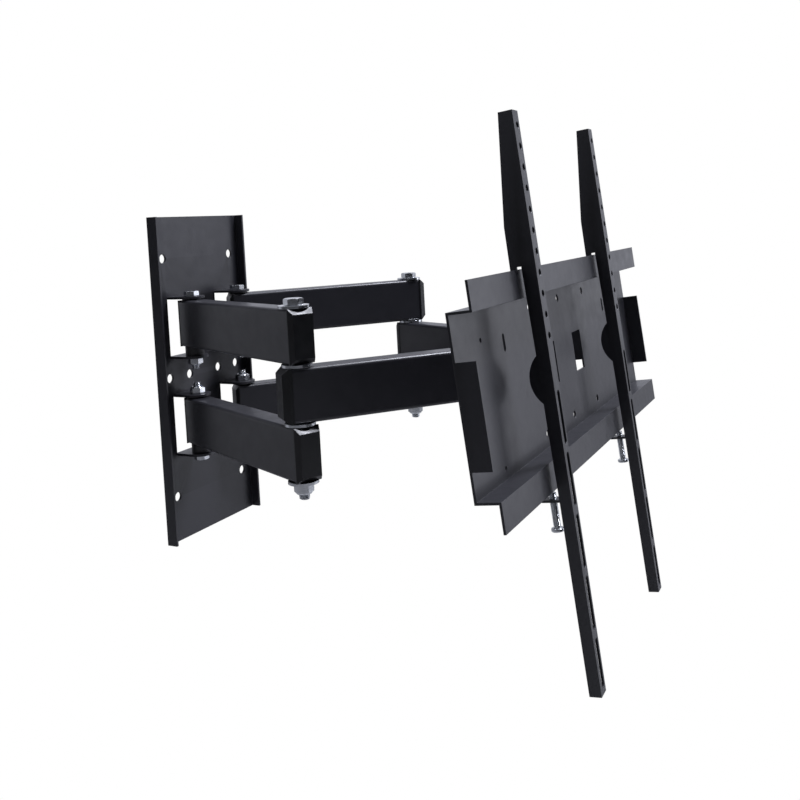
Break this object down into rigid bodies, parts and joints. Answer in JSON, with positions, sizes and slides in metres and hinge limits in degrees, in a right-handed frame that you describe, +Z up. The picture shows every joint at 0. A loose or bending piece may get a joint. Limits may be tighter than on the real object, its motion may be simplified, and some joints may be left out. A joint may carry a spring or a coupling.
{
  "type": "full motion tv wall mount",
  "caption": "Wall mount for a television: wall plate, hinged double tube arms, tilting cross plate and vertical hanging rails with clamp screws.",
  "frame": {"origin": "centre of the wall hole pattern, on the wall surface", "axes": "+X to the right seen from the room, -Y out from the wall towards the viewer, +Z up"},
  "size_m": [0.637, 0.5635, 0.6027],
  "materials": {
    "powder_coat": "satin black powder coat",
    "cap_plastic": "fine grained black moulding",
    "zinc": "bright zinc plate",
    "nylon": "black nylon bush"
  },
  "bodies": {
    "wall": {"wall_plate": "powder_coat", "shoulder_bolts": "zinc", "shoulder_nuts": "zinc", "shoulder_shims": "nylon"},
    "head": {"head_bracket": "powder_coat", "wrist_bolts": "zinc", "wrist_nuts": "zinc", "wrist_shims": "nylon", "tilt_bolts": "zinc", "tilt_nuts": "zinc", "tilt_washers": "zinc"},
    "screen": {"tv_plate": "powder_coat", "tilt_ears": "powder_coat"},
    "rear_left": {"rear_arm_upper_left": "powder_coat", "rear_arm_lower_left": "powder_coat", "rear_caps_left": "cap_plastic", "rear_sleeves_left": "nylon", "elbow_bolt_left": "zinc", "elbow_nut_left": "zinc", "elbow_washers_left": "zinc"},
    "front_left": {"front_arm_left": "powder_coat", "front_caps_left": "cap_plastic", "front_sleeves_left": "nylon"},
    "hanger_left": {"rail_left": "powder_coat"},
    "clamp_left": {"lock_screw_left": "zinc"},
    "rear_right": {"rear_arm_upper_right": "powder_coat", "rear_arm_lower_right": "powder_coat", "rear_caps_right": "cap_plastic", "rear_sleeves_right": "nylon", "elbow_bolt_right": "zinc", "elbow_nut_right": "zinc", "elbow_washers_right": "zinc"},
    "front_right": {"front_arm_right": "powder_coat", "front_caps_right": "cap_plastic", "front_sleeves_right": "nylon"},
    "hanger_right": {"rail_right": "powder_coat"},
    "clamp_right": {"lock_screw_right": "zinc"}
  },
  "joints": [
    {"name": "shoulder_left", "type": "hinge", "parent": "wall", "child": "rear_left", "pos_m": [-0.0485, -0.029, 0.007], "axis": [0, 0, 1], "range_deg": [-30, 22]},
    {"name": "elbow_left", "type": "hinge", "parent": "rear_left", "child": "front_left", "pos_m": [-0.16292, -0.26359, 0.007], "axis": [0, 0, 1], "range_deg": [-44, 60]},
    {"name": "wrist_left", "type": "hinge", "parent": "front_left", "child": "head", "pos_m": [0.03644, -0.43205, 0.007], "axis": [0, 0, 1], "range_deg": [-30, 22]},
    {"name": "shoulder_right", "type": "hinge", "parent": "wall", "child": "rear_right", "pos_m": [0.0485, -0.029, 0.007], "axis": [0, 0, 1], "range_deg": [-22, 30]},
    {"name": "elbow_right", "type": "hinge", "parent": "rear_right", "child": "front_right", "pos_m": [0.24785, -0.19746, 0.007], "axis": [0, 0, 1], "range_deg": [-60, 44]},
    {"name": "tilt", "type": "hinge", "parent": "head", "child": "screen", "pos_m": [0.08494, -0.46855, 0.0174], "axis": [1, 0, 0], "range_deg": [-9, 15]},
    {"name": "rail_slide_left", "type": "slide", "parent": "screen", "child": "hanger_left", "axis": [1, 0, 0], "range_m": [-0.08, 0.04]},
    {"name": "lock_travel_left", "type": "slide", "parent": "hanger_left", "child": "clamp_left", "axis": [0, 0.1115, 0.9938], "range_m": [-0.008, 0]},
    {"name": "rail_slide_right", "type": "slide", "parent": "screen", "child": "hanger_right", "axis": [1, 0, 0], "range_m": [-0.03, 0.12]},
    {"name": "lock_travel_right", "type": "slide", "parent": "hanger_right", "child": "clamp_right", "axis": [0, 0.1115, 0.9938], "range_m": [-0.008, 0]}
  ],
  "couplings": [
    {"joint": "elbow_left", "follows": "shoulder_left", "ratio": -2},
    {"joint": "wrist_left", "follows": "shoulder_left", "ratio": 1},
    {"joint": "shoulder_right", "follows": "shoulder_left", "ratio": -1},
    {"joint": "elbow_right", "follows": "shoulder_left", "ratio": 2}
  ]
}
